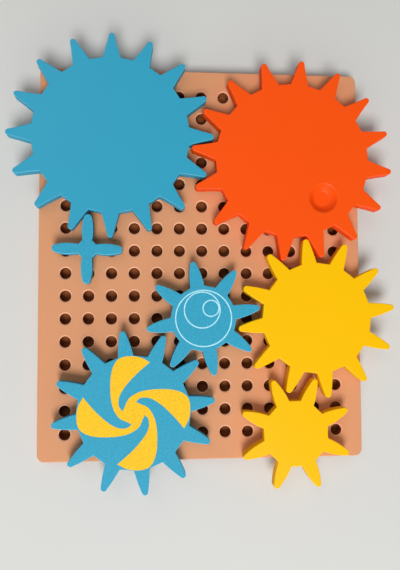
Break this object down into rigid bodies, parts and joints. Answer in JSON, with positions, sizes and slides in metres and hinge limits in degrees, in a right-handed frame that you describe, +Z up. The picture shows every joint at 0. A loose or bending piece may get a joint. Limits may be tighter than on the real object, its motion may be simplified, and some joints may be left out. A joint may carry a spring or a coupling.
{
  "type": "gear puzzle board",
  "caption": "Flat tan peg board with a grid of blind holes, carrying bright toothed wheels on round pegs that mesh and turn together and lift off to be rearranged.",
  "frame": {"origin": "middle of the board's underside, which rests on the table", "axes": "+Z up out of the board's face, +Y along the board's long side towards the two largest wheels, +X along its short side"},
  "size_m": [0.2155, 0.2536, 0.0201],
  "materials": {
    "tan_board": "fine matte",
    "tan_peg": "fine matte",
    "smooth_blue": "smooth satin",
    "smooth_orange": "smooth satin",
    "smooth_yellow": "smooth satin",
    "speckled_blue": "fine speckled matte",
    "inlay_yellow": "fine speckled matte",
    "inlay_white": "fine speckled matte"
  },
  "bodies": {
    "board": {"peg_board": "tan_board"},
    "large_orange_peg": {"large_orange_peg": "tan_peg"},
    "large_orange_gear": {"large_orange_gear": "smooth_orange"},
    "large_blue_peg": {"large_blue_peg": "tan_peg"},
    "large_blue_gear": {"large_blue_gear": "smooth_blue"},
    "plus_peg": {"plus_peg": "tan_peg"},
    "plus_gear": {"plus_gear": "speckled_blue"},
    "medium_yellow_peg": {"medium_yellow_peg": "tan_peg"},
    "medium_yellow_gear": {"medium_yellow_gear": "smooth_yellow"},
    "ringed_blue_peg": {"ringed_blue_peg": "tan_peg"},
    "ringed_blue_gear": {"ringed_blue_gear": "speckled_blue"},
    "pinwheel_peg": {"pinwheel_peg": "tan_peg"},
    "pinwheel_gear": {"pinwheel_gear": "speckled_blue", "pinwheel_inlay": "inlay_yellow"},
    "small_yellow_peg": {"small_yellow_peg": "tan_peg"},
    "small_yellow_gear": {"small_yellow_gear": "smooth_yellow"}
  },
  "joints": [
    {"name": "large_orange_lift", "type": "slide", "parent": "board", "child": "large_orange_peg", "axis": [0, 0, 1], "range_m": [0, 0.012]},
    {"name": "large_orange_spin", "type": "hinge", "parent": "large_orange_peg", "child": "large_orange_gear", "pos_m": [0.0508, 0.05715, 0.0126], "axis": [0, 0, 1], "continuous": true},
    {"name": "large_blue_lift", "type": "slide", "parent": "board", "child": "large_blue_peg", "axis": [0, 0, 1], "range_m": [0, 0.012]},
    {"name": "large_blue_spin", "type": "hinge", "parent": "large_blue_peg", "child": "large_blue_gear", "pos_m": [-0.0508, 0.06985, 0.0126], "axis": [0, 0, 1], "continuous": true},
    {"name": "plus_lift", "type": "slide", "parent": "board", "child": "plus_peg", "axis": [0, 0, 1], "range_m": [0, 0.012]},
    {"name": "plus_spin", "type": "hinge", "parent": "plus_peg", "child": "plus_gear", "pos_m": [-0.0635, 0.00635, 0.0126], "axis": [0, 0, 1], "continuous": true},
    {"name": "medium_yellow_lift", "type": "slide", "parent": "board", "child": "medium_yellow_peg", "axis": [0, 0, 1], "range_m": [0, 0.012]},
    {"name": "medium_yellow_spin", "type": "hinge", "parent": "medium_yellow_peg", "child": "medium_yellow_gear", "pos_m": [0.0635, -0.03175, 0.0126], "axis": [0, 0, 1], "continuous": true},
    {"name": "ringed_blue_lift", "type": "slide", "parent": "board", "child": "ringed_blue_peg", "axis": [0, 0, 1], "range_m": [0, 0.012]},
    {"name": "ringed_blue_spin", "type": "hinge", "parent": "ringed_blue_peg", "child": "ringed_blue_gear", "pos_m": [0, -0.03175, 0.0126], "axis": [0, 0, 1], "continuous": true},
    {"name": "pinwheel_lift", "type": "slide", "parent": "board", "child": "pinwheel_peg", "axis": [0, 0, 1], "range_m": [0, 0.012]},
    {"name": "pinwheel_spin", "type": "hinge", "parent": "pinwheel_peg", "child": "pinwheel_gear", "pos_m": [-0.0381, -0.08255, 0.0126], "axis": [0, 0, 1], "continuous": true},
    {"name": "small_yellow_lift", "type": "slide", "parent": "board", "child": "small_yellow_peg", "axis": [0, 0, 1], "range_m": [0, 0.012]},
    {"name": "small_yellow_spin", "type": "hinge", "parent": "small_yellow_peg", "child": "small_yellow_gear", "pos_m": [0.0508, -0.09525, 0.0126], "axis": [0, 0, 1], "continuous": true}
  ],
  "couplings": [
    {"joint": "large_blue_spin", "follows": "large_orange_spin", "ratio": -1},
    {"joint": "plus_spin", "follows": "large_orange_spin", "ratio": 4},
    {"joint": "medium_yellow_spin", "follows": "large_orange_spin", "ratio": -1.3333},
    {"joint": "ringed_blue_spin", "follows": "large_orange_spin", "ratio": 2},
    {"joint": "pinwheel_spin", "follows": "large_orange_spin", "ratio": -1.3333},
    {"joint": "small_yellow_spin", "follows": "large_orange_spin", "ratio": 2}
  ]
}
